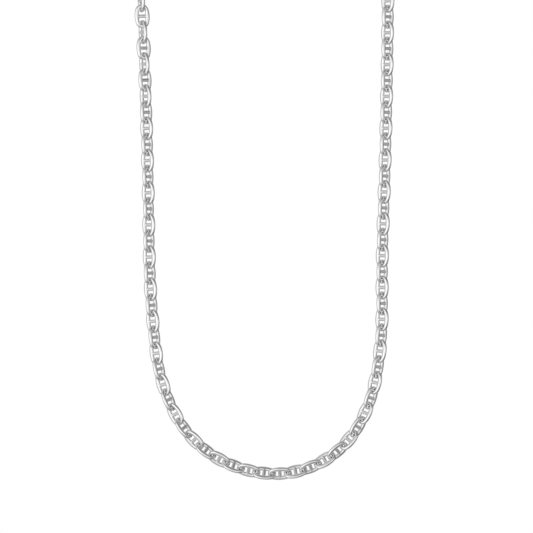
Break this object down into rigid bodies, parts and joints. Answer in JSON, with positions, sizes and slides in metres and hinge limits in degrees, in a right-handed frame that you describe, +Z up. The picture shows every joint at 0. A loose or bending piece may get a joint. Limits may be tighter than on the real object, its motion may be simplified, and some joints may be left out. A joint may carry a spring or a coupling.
{
  "type": "mariner link chain necklace",
  "caption": "Necklace of oval wire links, each with a crossbar, hooked through each other at right angles, closed by a plain hook clasp and two jump rings.",
  "frame": {"origin": "where the necklace sits on the nape: the middle of the clasp, on the chain's own line", "axes": "+Z up, the front hangs at -Y and faces -Y, +X to the right as the front is looked at"},
  "size_m": [0.1003, 0.0814, 0.2366],
  "materials": {
    "chain_silver": "polished sterling silver with fine wear",
    "clasp_silver": "polished sterling silver"
  },
  "bodies": {
    "root": {"chain_left": "chain_silver", "chain_right": "chain_silver", "clasp": "clasp_silver", "jump_ring_left": "clasp_silver", "jump_ring_right": "clasp_silver"}
  },
  "joints": []
}
